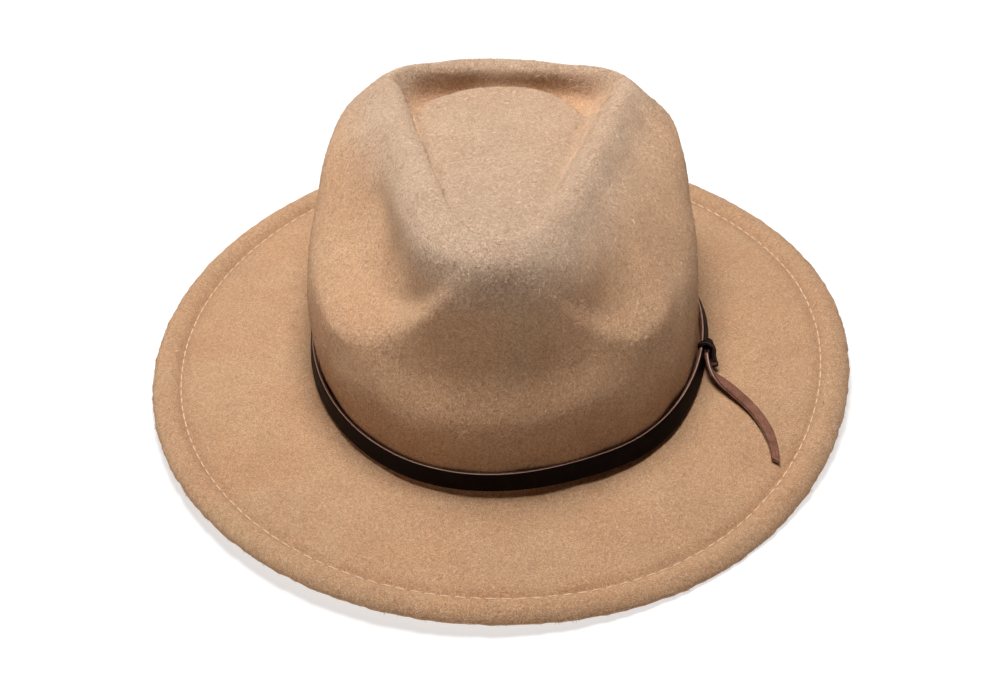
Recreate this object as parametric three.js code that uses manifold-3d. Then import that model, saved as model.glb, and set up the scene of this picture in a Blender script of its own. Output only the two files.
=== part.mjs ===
// Wide-brim fedora: one blocked wool felt body with a knotted leather lace round the crown.
// Millimetres. +Z is up, the hat's front faces -Y, and +X is on the right of one who looks at
// its front. Bearings go round the hat from its front, positive towards +X.
// The origin lies under the middle of the brim, on the surface that the hat rests on.

import * as THREE from "three";
import { ParametricGeometry } from "three/addons/geometries/ParametricGeometry.js";
import { mergeVertices } from "three/addons/utils/BufferGeometryUtils.js";
import Module from "manifold-3d";

const TURN = 2 * Math.PI;
const AROUND = 64; // faces round the hat
const FELT = 2.6; // thickness of the felt
const LACE_WIDTH = 8.0;
const LACE_THICK = 1.8;
const CLEARANCE = 0.3; // gap between pieces that touch
const KNOT_BEARING = 80; // degrees from the front
const KNOT_REACH = 4.6; // half the length of band that the knot takes

// The felt's outer face, as rings from the middle of the crown's hollow top to the brim's
// stitch line. x and y place a ring's middle, side, front and back are its reaches, z is its
// height at the sides. rise_front, rise_back and rise_corner lift it in front, behind and at its
// back corners, and lean lowers its +X side. taper narrows its front half, corner squares
// its back, and steps counts the faces from this ring to the next.
const SECTION_COLUMNS = [
  "name", "x", "y", "side", "front", "back", "z",
  "rise_front", "rise_back", "rise_corner", "lean", "taper", "corner", "steps",
];
const SECTION_ROWS = [
  ["floor_middle", -1.0, 39.5, 0.0, 0.0, 0.0, 96.5, 0.0, 0.0, 0.0, 0.0, 0.0, 0.0, 1],
  ["floor", -0.5, 42.5, 20.0, 64.0, 20.0, 96.0, 3.5, -0.3, -0.5, 0.5, 0.2, 0.0, 2],
  ["floor_edge", 0.0, 45.5, 35.5, 106.0, 29.5, 94.0, 10.5, 0.0, -0.5, 0.6, 0.32, 0.03, 1],
  ["valley", 0.5, 45.5, 39.5, 111.0, 34.5, 91.5, 11.5, -3.5, -6.5, 0.0, 0.31, 0.05, 1],
  ["wall_foot", 1.5, 49.0, 42.5, 117.0, 33.5, 92.5, 12.0, -3.0, -6.0, 0.5, 0.31, 0.22, 2],
  ["inner_lip", 3.5, 60.5, 50.0, 131.0, 23.5, 99.5, 8.0, -2.0, -1.3, 2.0, 0.32, 0.19, 2],
  ["crest", 4.5, 61.5, 55.0, 134.5, 28.0, 101.5, 6.0, -1.7, -1.2, 2.1, 0.28, 0.1, 3],
  ["shoulder", 2.5, 46.5, 68.0, 129.0, 50.0, 92.0, 11.5, 3.0, -1.0, 2.2, 0.21, 0.13, 3],
  ["upper_wall", 2.0, 31.5, 79.5, 118.5, 72.0, 79.0, 11.0, 3.5, 0.0, 0.0, 0.15, 0.13, 3],
  ["middle_wall", 1.7, 15.5, 85.3, 105.8, 89.0, 58.5, -1.5, 2.0, 0.0, 0.0, 0.02, 0.03, 3],
  ["lower_wall", 2.1, 3.8, 86.2, 104.5, 101.0, 34.5, 3.5, 0.0, 0.0, 0.0, 0.0, 0.01, 3],
  ["band_top", 3.1, 0.5, 85.6, 104.0, 104.5, 17.0, 0.0, 0.0, 0.0, 0.0, 0.0, 0.0, 1],
  ["band_foot", 3.1, 0.5, 85.9, 104.4, 105.0, 9.0, 0.0, 0.0, 0.0, 0.0, 0.0, 0.0, 2],
  ["break", 2.7, 0.4, 89.6, 107.9, 108.3, 5.5, 0.0, 0.0, 0.0, 0.0, 0.0, 0.0, 2],
  ["brim_inner", 1.6, 0.1, 108.6, 126.4, 126.0, 4.9, 0.0, 0.0, 0.0, 0.0, 0.0, 0.0, 1],
  ["brim_middle", 0.6, 0.0, 127.6, 146.0, 145.6, 4.3, 0.0, 0.0, 0.0, 0.0, 0.0, 0.0, 1],
  ["stitch_line", 0.0, 0.0, 143.0, 161.5, 161.5, 3.6, 0.0, 0.0, 0.0, 0.0, 0.0, 0.0, 0],
];

// The folded edge beyond the stitch line: out is the distance outwards from the stitches, up
// the height above the brim's face there. It runs over the welt, round its nose and back.
const WELT_ROWS = [
  { out: 1.2, up: 0.3 },
  { out: 3.4, up: 1.1 },
  { out: 7.6, up: 1.4 },
  { out: 10.8, up: 0.8 },
  { out: 12.3, up: -0.6 },
  { out: 12.5, up: -1.9 },
  { out: 11.8, up: -3.1 },
  { out: 10.0, up: -3.6 },
  { out: 1.8, up: -3.6 },
  { out: 0.6, up: -3.4 },
];

// How far the brim's edge waves up from the resting surface, at bearings in degrees.
const BRIM_WAVES = [
  { bearing: -180, lift: -0.3 },
  { bearing: -135, lift: -0.6 },
  { bearing: -90, lift: 2.0 },
  { bearing: -40, lift: 5.0 },
  { bearing: 0, lift: 3.8 },
  { bearing: 40, lift: -0.6 },
  { bearing: 90, lift: 6.5 },
  { bearing: 140, lift: -0.6 },
];

// The two dents pinched into the front of the crown, and the flat beside its middle. Each
// starts at its foot, which lifts towards the hat's front, is full at full, and fades out again
// between fade and top. Spreads are in degrees of bearing.
const PINCHES = [
  { bearing: -49, spread: 26, foot: 52, lift: 20, full: 68, fade: 74, top: 112, depth: 14 },
  { bearing: 43, spread: 17, foot: 56, lift: 14, full: 68, fade: 70, top: 115, depth: 4.5 },
  { bearing: 22, spread: 20, foot: -20, lift: 0, full: 0, fade: 30, top: 70, depth: 2.6 },
];

// Soft hollows that the blocking left in the sides of the crown and, where depth is negative,
// the swellings under the dents and across the front. Reach is their extent up and down.
const HOLLOWS = [
  { bearing: -70, spread: 17, height: 79, reach: 20, depth: 7.5 },
  { bearing: -48, spread: 20, height: 56, reach: 10, depth: -2.5 },
  { bearing: 16, spread: 20, height: 43, reach: 11, depth: -2.5 },
  { bearing: 45, spread: 15, height: 59, reach: 12, depth: -4.5 },
  { bearing: 72, spread: 20, height: 80, reach: 20, depth: 4.5 },
];

const TAPER_FROM = -0.25; // cosine of the bearing where a ring starts to narrow
const TAPER_RUN = 0.9;
const RISE_POWER = 1.5; // how quickly front and back rises and the brim's waves set in

// How the lace stands round the crown: foot is the height of its lower edge, gap its distance
// from the felt at its top, and flare how much further out its lower edge stands.
const LACE_ROWS = [
  { bearing: -165, foot: 8.4, gap: 0.4, flare: 0.8 },
  { bearing: -115, foot: 8.3, gap: 0.4, flare: 0.8 },
  { bearing: -65, foot: 8.0, gap: 0.4, flare: 1.0 },
  { bearing: -30, foot: 8.0, gap: 0.4, flare: 1.3 },
  { bearing: 0, foot: 9.4, gap: 0.4, flare: 1.0 },
  { bearing: 20, foot: 8.8, gap: 0.4, flare: 2.2 },
  { bearing: 42, foot: 7.2, gap: 0.5, flare: 3.4 },
  { bearing: 65, foot: 6.8, gap: 0.8, flare: 2.0 },
  { bearing: 80, foot: 7.6, gap: 1.2, flare: 1.6 },
  { bearing: 98, foot: 8.0, gap: 1.6, flare: 2.9 },
  { bearing: 125, foot: 8.0, gap: 1.0, flare: 2.0 },
  { bearing: 155, foot: 8.3, gap: 0.5, flare: 1.0 },
];

// The knot's strips, as points from the middle of the lace there: along to the back, up and
// out. The wrap goes over the lace and ends in the short loose end. The root is the start of
// the long end, held inside the wrap.
const KNOT_WRAP = [
  { along: 1.9, up: 1.5, out: 0.4 },
  { along: 1.9, up: 4.5, out: 0.8 },
  { along: 1.6, up: 5.4, out: 2.5 },
  { along: 1.2, up: 4.3, out: 4.4 },
  { along: 0.7, up: 1.6, out: 4.9 },
  { along: -0.2, up: -1.4, out: 4.3 },
  { along: -1.8, up: -3.6, out: 3.9 },
  { along: -3.6, up: -4.7, out: 3.9 },
];
const KNOT_ROOT = [
  { along: 3.6, up: 0.6, out: 2.8 },
  { along: 1.0, up: 0.4, out: 2.9 },
  { along: -1.4, up: 0.0, out: 2.8 },
];
const KNOT_WIDTH = 5.4; // the lace is squeezed narrower inside the knot
const CROSSING_WIDTH = 7.2; // and less where the band's ends cross
const WRAP_STEPS = 18;
const STRAIGHT_STEPS = 4; // of the crossing and the root

// The long loose end of the lace, from the knot down on to the brim, as chosen points.
const TAIL_ROUTE = [
  [91.8, -20.8, 12.4],
  [91.9, -22.6, 11.9],
  [92.2, -24.7, 11.3],
  [92.9, -27.3, 10.7],
  [94.7, -30.8, 9.9],
  [97.4, -34.8, 9.4],
  [100.5, -39.0, 9.1],
  [104.0, -43.9, 8.8],
  [107.4, -49.1, 8.6],
  [110.4, -54.7, 8.3],
  [112.8, -60.4, 8.0],
  [114.6, -66.3, 7.7],
  [115.7, -72.2, 7.3],
  [116.2, -78.2, 7.0],
  [116.0, -83.8, 6.6],
];
const TAIL_WIDTH = 6.0;
const TAIL_TWIST = 0.35; // share of the loose end's length over which it turns to lie flat
const TAIL_STEPS = 26;

const felt = new THREE.MeshStandardMaterial({ color: 0xc39a76, roughness: 0.95, metalness: 0 });
const leather = new THREE.MeshStandardMaterial({ color: 0x1d1413, roughness: 0.4, metalness: 0 });
const suede = new THREE.MeshStandardMaterial({ color: 0x6b4a3e, roughness: 0.8, metalness: 0 });

const SECTIONS = SECTION_ROWS.map((row) =>
  Object.fromEntries(SECTION_COLUMNS.map((column, i) => [column, row[i]])),
);

function sectionNumber(name) {
  return SECTIONS.findIndex((section) => section.name === name);
}

const CREST = sectionNumber("crest");
const BAND_TOP = sectionNumber("band_top");
const BREAK = sectionNumber("break");
const STITCH_LINE = sectionNumber("stitch_line");
const BRIM = SECTIONS[STITCH_LINE];

function smooth(t) {
  const s = THREE.MathUtils.clamp(t, 0, 1);
  return s * s * (3 - 2 * s);
}

// A bearing in degrees, wrapped to -180..180.
function wrapped(degrees) {
  return THREE.MathUtils.euclideanModulo(degrees + 180, 360) - 180;
}

// A smooth closed curve through a table of rows sorted by bearing, read at one bearing.
function around(rows, column, degrees) {
  const at = THREE.MathUtils.euclideanModulo(degrees - rows[0].bearing, 360);
  const starts = rows.map((row) => row.bearing - rows[0].bearing);
  let i = rows.length - 1;
  while (starts[i] > at) i -= 1;
  const end = i + 1 < rows.length ? starts[i + 1] : 360;
  const t = (at - starts[i]) / (end - starts[i]);
  const value = (k) => rows[(k + rows.length) % rows.length][column];
  const [before, from, to, after] = [value(i - 1), value(i), value(i + 1), value(i + 2)];
  const leave = (to - before) / 2;
  const arrive = (after - from) / 2;
  return (
    from + leave * t
    + (3 * (to - from) - 2 * leave - arrive) * t * t
    + (2 * (from - to) + leave + arrive) * t * t * t
  );
}

// One point of a section's ring. The angle is the bearing in radians.
function ringPoint(section, angle) {
  const across = Math.sin(angle);
  const along = Math.cos(angle);
  const front = Math.max(along, 0);
  const back = Math.max(-along, 0);
  const corner = along < 0 ? Math.sin(2 * angle) ** 2 : 0;
  const squared = 1 + section.corner * corner;
  const narrowed = 1 - section.taper * smooth((along - TAPER_FROM) / TAPER_RUN);
  return new THREE.Vector3(
    section.x + section.side * across * narrowed * squared,
    section.y + (section.back * back - section.front * front) * squared,
    section.z
      + section.rise_front * front ** RISE_POWER
      + section.rise_back * back ** RISE_POWER
      + section.rise_corner * corner
      - section.lean * across,
  );
}

// A smooth curve from b to c whose tangents follow the spacing of the four points.
function between(a, b, c, d, t) {
  const spacing = (p, q) => Math.sqrt(Math.max(p.distanceTo(q), 1e-3));
  const [ab, bc, cd] = [spacing(a, b), spacing(b, c), spacing(c, d)];
  const read = (axis) => {
    const leave =
      ((b[axis] - a[axis]) / ab - (c[axis] - a[axis]) / (ab + bc) + (c[axis] - b[axis]) / bc) * bc;
    const arrive =
      ((c[axis] - b[axis]) / bc - (d[axis] - b[axis]) / (bc + cd) + (d[axis] - c[axis]) / cd) * bc;
    return (
      b[axis] + leave * t
      + (3 * (c[axis] - b[axis]) - 2 * leave - arrive) * t * t
      + (2 * (b[axis] - c[axis]) + leave + arrive) * t * t * t
    );
  };
  return new THREE.Vector3(read("x"), read("y"), read("z"));
}

// How far an angle lies to the side of a dent, in its spreads.
function aside(angle, dent) {
  return wrapped(THREE.MathUtils.radToDeg(angle) - dent.bearing) / dent.spread;
}

// Moves a point towards the crown's middle, square to the bearing of a dent's middle.
function pressIn(point, dent, share) {
  const bearing = THREE.MathUtils.degToRad(dent.bearing);
  point.x -= Math.sin(bearing) * dent.depth * share;
  point.y += Math.cos(bearing) * dent.depth * share;
}

function shapeByHand(point, angle, place) {
  const strength = smooth(place - CREST) * smooth(BREAK + 0.5 - place);
  if (strength === 0) return;
  const height = point.z;
  for (const dent of PINCHES) {
    const off = aside(angle, dent);
    const forward = Math.max(-off * Math.sign(dent.bearing), 0);
    const foot = dent.foot + dent.lift * forward ** 2;
    const rise = smooth((height - foot) / (dent.full - dent.foot));
    const fall = 1 - smooth((height - dent.fade) / (dent.top - dent.fade));
    pressIn(point, dent, Math.exp(-(off ** 2)) * rise * fall * strength);
  }
  for (const dent of HOLLOWS) {
    const up = (height - dent.height) / dent.reach;
    pressIn(point, dent, Math.exp(-(aside(angle, dent) ** 2) - up ** 2) * strength);
  }
}

// The felt's outer face. place counts sections, so 2.5 lies halfway from the third to the fourth.
function outerFace(angle, place) {
  const k = Math.min(Math.floor(place), STITCH_LINE - 1);
  const b = ringPoint(SECTIONS[k], angle);
  const c = ringPoint(SECTIONS[k + 1], angle);
  const a = k > 0 ? ringPoint(SECTIONS[k - 1], angle) : b.clone().multiplyScalar(2).sub(c);
  const d =
    k + 2 <= STITCH_LINE ? ringPoint(SECTIONS[k + 2], angle) : c.clone().multiplyScalar(2).sub(b);
  const point = between(a, b, c, d, place - k);
  shapeByHand(point, angle, place);
  const wave = THREE.MathUtils.clamp((place - BREAK + 0.5) / (STITCH_LINE - BREAK + 0.5), 0, 1);
  point.z += around(BRIM_WAVES, "lift", THREE.MathUtils.radToDeg(angle)) * wave ** RISE_POWER;
  return point;
}

// The direction straight out of the felt's outer face.
function outwards(angle, place) {
  if (place === 0) return new THREE.Vector3(0, 0, 1);
  const turn = 0.01;
  const move = 0.02;
  const [low, high] = [Math.max(place - move, 0), Math.min(place + move, STITCH_LINE)];
  const round = outerFace(angle + turn, place).sub(outerFace(angle - turn, place));
  const down = outerFace(angle, high).sub(outerFace(angle, low));
  return down.cross(round).normalize();
}

function innerFace(angle, place) {
  return outerFace(angle, place).addScaledVector(outwards(angle, place), -FELT);
}

// The folded edge follows the brim's own slope, and lies flat where it meets the surface.
function weltPoint(angle, row) {
  const stitch = outerFace(angle, STITCH_LINE);
  const out = new THREE.Vector3(stitch.x / BRIM.side ** 2, stitch.y / BRIM.front ** 2, 0).normalize();
  const point = stitch.clone().addScaledVector(out, row.out);
  point.z = Math.max(stitch.z + row.up, 0);
  return point;
}

// Every ring of the felt body, from the middle of its top over the edge to its inside.
function feltRings() {
  const places = SECTIONS.flatMap((section, k) =>
    Array.from({ length: section.steps }, (_, i) => k + i / section.steps),
  );
  places.push(STITCH_LINE);
  return [
    ...places.map((place) => (angle) => outerFace(angle, place)),
    ...WELT_ROWS.map((row) => (angle) => weltPoint(angle, row)),
    ...places.reverse().map((place) => (angle) => innerFace(angle, place)),
  ];
}

// A closed skin through rings, each a function of the angle.
function skin(rings, faces) {
  const last = rings.length - 1;
  const geometry = new ParametricGeometry(
    (u, v, target) => target.copy(rings[Math.round(v * last)](-TURN * (u % 1))),
    faces,
    last,
  );
  geometry.computeVertexNormals();
  return geometry;
}

function feltBody() {
  return skin(feltRings(), AROUND);
}

// The lace where it goes round the crown: its middle, and the directions up it and out of it.
function laceFrame(degrees) {
  const angle = THREE.MathUtils.degToRad(degrees);
  const flare = around(LACE_ROWS, "flare", degrees);
  const height = Math.sqrt(LACE_WIDTH ** 2 - flare ** 2);
  const foot = around(LACE_ROWS, "foot", degrees);
  const wall = outerFace(angle, BAND_TOP);
  const level = outwards(angle, BAND_TOP).setZ(0).normalize();
  const up = new THREE.Vector3(0, 0, height).addScaledVector(level, -flare).normalize();
  const out = level.clone().multiplyScalar(height).add(new THREE.Vector3(0, 0, flare)).normalize();
  const middle = wall.clone().setZ(foot + height / 2);
  const gap = around(LACE_ROWS, "gap", degrees);
  middle.addScaledVector(level, gap + (flare + LACE_THICK) / 2);
  return { middle, up, out };
}

// Corners of a flat lace's section: half the width by half the thickness, edges eased.
function laceSection(width, thick) {
  const [w, t, ease] = [width / 2, thick / 2, thick / 4];
  return [
    [w - ease, -t], [w, ease - t], [w, t - ease], [w - ease, t],
    [ease - w, t], [-w, t - ease], [-w, ease - t], [ease - w, -t],
  ];
}

// A closed strip: a section of corners carried through frames, with flat ends.
function strip(corners, frames) {
  const sides = corners.length;
  const place = (frame, [across, through]) =>
    frame.middle.clone().addScaledVector(frame.up, across).addScaledVector(frame.out, through);
  const outline = (frame) => (angle) => {
    const side = Math.round((-angle / TURN) * sides) % sides;
    return place(frame, corners[side]);
  };
  const end = (frame) => () => frame.middle.clone();
  return skin([end(frames[0]), ...frames.map(outline), end(frames.at(-1))], sides);
}

function hatBand() {
  const opening = THREE.MathUtils.radToDeg((KNOT_REACH + CLEARANCE) / laceRadius());
  const sweep = 360 - 2 * opening;
  const frames = Array.from({ length: AROUND + 1 }, (_, i) =>
    laceFrame(KNOT_BEARING + opening + (sweep * i) / AROUND),
  );
  return strip(laceSection(LACE_WIDTH, LACE_THICK), frames);
}

// How far the lace moves along for each radian of bearing at the knot.
function laceRadius() {
  const step = 0.5;
  const before = laceFrame(KNOT_BEARING - step).middle;
  const after = laceFrame(KNOT_BEARING + step).middle;
  return before.distanceTo(after) / THREE.MathUtils.degToRad(2 * step);
}

// A smooth curve for a flat lace, which knows where the lace's outer face looks.
class LaceCurve extends THREE.CatmullRomCurve3 {
  constructor(points, facing) {
    super(points);
    this.facing = facing;
  }

  computeFrenetFrames(steps) {
    const frames = { tangents: [], normals: [], binormals: [] };
    for (let i = 0; i <= steps; i += 1) {
      const tangent = this.getTangentAt(i / steps);
      const normal = this.facing(i / steps);
      normal.addScaledVector(tangent, -normal.dot(tangent)).normalize();
      frames.tangents.push(tangent);
      frames.normals.push(normal);
      frames.binormals.push(tangent.clone().cross(normal));
    }
    return frames;
  }
}

function lace(curve, width, steps) {
  const corners = laceSection(width, LACE_THICK).map(([w, t]) => new THREE.Vector2(t, w));
  const shape = new THREE.Shape(corners);
  return new THREE.ExtrudeGeometry(shape, { steps, extrudePath: curve });
}

function solid(geometry) {
  const bare = geometry.clone();
  bare.deleteAttribute("normal");
  bare.deleteAttribute("uv");
  const merged = mergeVertices(bare, 1e-4);
  return new wasm.Manifold(
    new wasm.Mesh({
      numProp: 3,
      vertProperties: new Float32Array(merged.attributes.position.array),
      triVerts: new Uint32Array(merged.index.array),
    }),
  );
}

function joined(geometries) {
  const whole = geometries.map(solid).reduce((sum, next) => sum.add(next)).getMesh();
  const geometry = new THREE.BufferGeometry();
  geometry.setAttribute("position", new THREE.BufferAttribute(whole.vertProperties, 3));
  geometry.setIndex(new THREE.BufferAttribute(whole.triVerts, 1));
  geometry.computeVertexNormals();
  return geometry;
}

// The knot: the band's own ends crossing, the wrap over them, and the root of the long end.
function bandKnot() {
  const { middle, up, out } = laceFrame(KNOT_BEARING);
  const along = up.clone().cross(out);
  const place = (row) =>
    middle.clone()
      .addScaledVector(along, row.along)
      .addScaledVector(up, row.up)
      .addScaledVector(out, row.out);
  const loop = place({ along: 0, up: 1.5, out: 2.6 });
  const wrap = new LaceCurve(KNOT_WRAP.map(place), (u) =>
    wrap.getPointAt(u).sub(loop),
  );
  const root = new LaceCurve(KNOT_ROOT.map(place), () => out.clone());
  const ends = [-KNOT_REACH, 0, KNOT_REACH].map((reach) => place({ along: reach, up: 0, out: 0 }));
  const crossing = new LaceCurve(ends, () => out.clone());
  return joined([
    lace(crossing, CROSSING_WIDTH, STRAIGHT_STEPS),
    lace(wrap, KNOT_WIDTH, WRAP_STEPS),
    lace(root, KNOT_WIDTH, STRAIGHT_STEPS),
  ]);
}

// The long end leaves the knot on edge and turns to lie flat on the brim.
function longTail() {
  const points = TAIL_ROUTE.map((point) => new THREE.Vector3(...point));
  const { out } = laceFrame(KNOT_BEARING);
  const up = new THREE.Vector3(0, 0, 1);
  const route = new LaceCurve(points, (u) => out.clone().lerp(up, smooth(u / TAIL_TWIST)));
  return lace(route, TAIL_WIDTH, TAIL_STEPS);
}

const wasm = await Module();
wasm.setup();

const hat = new THREE.Group();
hat.name = "wide_brim_fedora";

function add(name, geometry, material) {
  const mesh = new THREE.Mesh(geometry, material);
  mesh.name = name;
  hat.add(mesh);
}

add("felt_crown_and_brim", feltBody(), felt);
add("hat_band", hatBand(), leather);
add("band_knot", bandKnot(), leather);
add("long_tail", longTail(), suede);

export default hat;
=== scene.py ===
# A wide-brim fedora: a blocked wool felt hat with a knotted leather lace round its crown.
# Metres. +Z is up and the hat's front faces -Y. Bearings go round the hat from its front, in
# degrees, positive towards +X, where the knot is.
import math

import bpy
import numpy as np
from mathutils import Matrix, Vector


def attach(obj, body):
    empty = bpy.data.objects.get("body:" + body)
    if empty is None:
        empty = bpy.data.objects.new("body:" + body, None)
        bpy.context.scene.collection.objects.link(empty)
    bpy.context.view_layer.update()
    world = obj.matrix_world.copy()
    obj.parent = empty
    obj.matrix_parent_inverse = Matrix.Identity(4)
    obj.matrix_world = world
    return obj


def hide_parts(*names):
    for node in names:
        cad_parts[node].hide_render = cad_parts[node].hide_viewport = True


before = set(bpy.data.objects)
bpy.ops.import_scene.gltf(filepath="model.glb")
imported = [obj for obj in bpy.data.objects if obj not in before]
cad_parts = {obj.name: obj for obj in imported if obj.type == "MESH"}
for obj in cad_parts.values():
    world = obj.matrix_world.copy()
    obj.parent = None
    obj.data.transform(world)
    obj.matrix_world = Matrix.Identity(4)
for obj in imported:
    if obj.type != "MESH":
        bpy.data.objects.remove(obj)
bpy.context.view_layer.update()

# The camera stands in front of the hat and above it, as in the photograph, and looks down at
# the foot of the crown. It is turned a little to the hat's +X side and rolled slightly.
CAMERA_DISTANCE = 0.7164
CAMERA_HEIGHT_ANGLE = math.radians(37.6)
CAMERA_BEARING = math.radians(3.0)
CAMERA_ROLL = math.radians(-1.8)
CAMERA_TARGET = Vector((0.001, -0.02045, 0.0156))
CAMERA_LENS = 58.5  # millimetres, on a sensor 36 wide


def placed(name, data):
    """A new object with this mesh, lamp or camera, in the scene."""
    made = bpy.data.objects.new(name, data)
    bpy.context.scene.collection.objects.link(made)
    return made


level_back = Vector((math.sin(CAMERA_BEARING), -math.cos(CAMERA_BEARING), 0))
back = level_back * math.cos(CAMERA_HEIGHT_ANGLE)
back.z = math.sin(CAMERA_HEIGHT_ANGLE)
level_right = Vector((math.cos(CAMERA_BEARING), math.sin(CAMERA_BEARING), 0))
square_up = back.cross(level_right)
right = level_right * math.cos(CAMERA_ROLL) + square_up * math.sin(CAMERA_ROLL)
camera_data = bpy.data.cameras.new("camera")
camera_data.sensor_width = 36
camera_data.lens = CAMERA_LENS
camera_data.clip_start = 0.01
camera = placed("camera", camera_data)
camera.matrix_world = Matrix((right, back.cross(right), back)).transposed().to_4x4()
camera.matrix_world.translation = CAMERA_TARGET + back * CAMERA_DISTANCE
bpy.context.scene.camera = camera

# The long loose end of the lace: a flat strip of leather cut 3 to 5 mm wide. It leaves the knot
# on edge, turns flesh side up and lies down along the brim, where its end is cut off aslant.
LACE_THICK = 0.0018
LACE_EASE = 0.00035  # how far a cut corner is rounded
FACE_SPANS = 6
CORNER_SPANS = 3
END_EASE = 0.0003  # how far a cut end is rounded
END_SHARE = 0.9  # size of the flat face at a cut end, beside the strip's section
CURVE_STEPS = 24  # short straight steps that measure a curve, between two given points
TAIL_ROUTE = [
    (0.0918, -0.0208, 0.0124), (0.0919, -0.0226, 0.0119), (0.0922, -0.0247, 0.0113),
    (0.0929, -0.0273, 0.0107), (0.0947, -0.0308, 0.0099), (0.0974, -0.0348, 0.0094),
    (0.1005, -0.0390, 0.0091), (0.1040, -0.0439, 0.0088), (0.1074, -0.0491, 0.0086),
    (0.1104, -0.0547, 0.0083), (0.1128, -0.0604, 0.0080), (0.1146, -0.0663, 0.0077),
    (0.1157, -0.0722, 0.0073), (0.1162, -0.0782, 0.0070), (0.1160, -0.0838, 0.0066),
]
TAIL_WIDTHS = [  # share of its length, width
    (0.0, 0.0044), (0.3, 0.0049), (0.75, 0.0043), (1.0, 0.0030),
]
TAIL_SIDE_OUT = Vector((0.985, -0.174, 0))  # where its face looks as it leaves the knot
TAIL_TWIST = 0.35  # share of its length over which it turns to lie flat
TAIL_STEPS = 140
TIP_SLANT = 0.7  # lean of the cut, in lengths for each width
TIP_REACH = 0.008  # length over which the rings lean towards the slanted cut


def unit(vectors):
    return vectors / np.linalg.norm(vectors, axis=-1, keepdims=True)


def smooth(t):
    s = np.clip(t, 0, 1)
    return s * s * (3 - 2 * s)


def between(a, b, c, d, t):
    """A smooth curve from b to c whose tangents follow the spacing of the four points."""
    def spacing(p, q):
        return np.sqrt(np.maximum(np.linalg.norm(q - p, axis=-1, keepdims=True), 1e-6))

    ab, bc, cd = spacing(a, b), spacing(b, c), spacing(c, d)
    leave = ((b - a) / ab - (c - a) / (ab + bc) + (c - b) / bc) * bc
    arrive = ((c - b) / bc - (d - b) / (bc + cd) + (d - c) / cd) * bc
    return (
        b + leave * t
        + (3 * (c - b) - 2 * leave - arrive) * t**2
        + (2 * (b - c) + leave + arrive) * t**3
    )


def smooth_line(points, count):
    """count points at even steps along a smooth curve through the given ones."""
    given = np.array(points, float)
    held = np.vstack([2 * given[0] - given[1], given, 2 * given[-1] - given[-2]])
    fine = [
        between(*held[k : k + 4], t)
        for k in range(len(given) - 1)
        for t in np.linspace(0, 1, CURVE_STEPS, endpoint=False)
    ]
    fine = np.array([*fine, given[-1]])
    steps = np.linalg.norm(np.diff(fine, axis=0), axis=1)
    gone = np.concatenate([[0], np.cumsum(steps)])
    even = np.linspace(0, gone[-1], count)
    return np.stack([np.interp(even, gone, fine[:, axis]) for axis in range(3)], -1)


def lace_section(width):
    """Half of a turn round the lace: across and through at each corner, and the side it opens."""
    half, thick = width / 2, LACE_THICK / 2
    flat = half - LACE_EASE
    turn = [math.pi / 2 * k / CORNER_SPANS for k in range(CORNER_SPANS + 1)]
    rounded = [(math.sin(a) * LACE_EASE, math.cos(a) * LACE_EASE) for a in turn]
    core = thick - LACE_EASE
    points = [(flat * (2 * k / FACE_SPANS - 1), thick, 0) for k in range(FACE_SPANS)]
    points += [(flat + x, core + y, 0 if x < y else 1) for x, y in rounded]
    points += [(flat + y, -core - x, 1 if x < y else 2) for x, y in rounded]
    points += [(flat * (1 - 2 * k / FACE_SPANS), -thick, 2) for k in range(1, FACE_SPANS)]
    points += [(-flat - x, -core - y, 2 if x < y else 1) for x, y in rounded]
    points += [(-flat - y, core + x, 1 if x < y else 0) for x, y in rounded[:-1]]
    return np.array(points)


def lace_strip(name, middle, out, widths, finishes, slant=0.0, closed=False):
    """A flat lace along its middle line, with its grain face looking out."""
    if closed:
        along = np.roll(middle, -1, axis=0) - np.roll(middle, 1, axis=0)
    else:
        along = np.gradient(middle, axis=0)
    along = unit(along)
    out = unit(out - along * np.sum(out * along, axis=1, keepdims=True))
    across = np.cross(out, along)
    steps = np.linalg.norm(np.diff(middle, axis=0), axis=1)
    gone = np.concatenate([[0], np.cumsum(steps)])
    lean = slant * smooth((gone - gone[-1] + TIP_REACH) / TIP_REACH)
    rings = []
    lays = []
    for k, width in enumerate(widths):
        section = lace_section(width)
        x, y = section[:, :1], section[:, 1:2]
        rings.append(middle[k] + across[k] * x + out[k] * y + along[k] * x * lean[k])
        lays.append(np.hstack([np.full_like(x, gone[k]), x, y]))
    sides = lace_section(widths[0])[:, 2].astype(int)
    if not closed:
        for first, k in ((True, 0), (False, -1)):
            inset = along[k] * END_EASE * (-1 if first else 1)
            ring = middle[k] + (rings[k] - middle[k]) * END_SHARE + inset
            rings.insert(0 if first else len(rings), ring)
            lays.insert(0 if first else len(lays), lays[k])
    count = len(sides)
    corners = np.arange(count)
    faces = []
    slots = []
    last = len(rings) if closed else len(rings) - 1
    for k in range(last):
        here, there = k * count, (k + 1) % len(rings) * count
        following = np.roll(corners, -1)
        faces += np.stack(
            [here + corners, here + following, there + following, there + corners], -1
        ).tolist()
        eased_end = not closed and k in (0, last - 1)
        slots += [1] * count if eased_end else sides.tolist()
    if not closed:
        faces.append(corners[::-1].tolist())
        faces.append((last * count + corners).tolist())
        slots += [1, 1]
    mesh = bpy.data.meshes.new(name)
    mesh.from_pydata(np.vstack(rings).tolist(), [], faces)
    for finish in finishes:
        mesh.materials.append(finish)
    mesh.polygons.foreach_set("material_index", slots)
    mesh.shade_smooth()
    lay = mesh.attributes.new("lay", "FLOAT_VECTOR", "POINT")
    lay.data.foreach_set("vector", np.vstack(lays).ravel())
    return placed(name, mesh)


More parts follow.
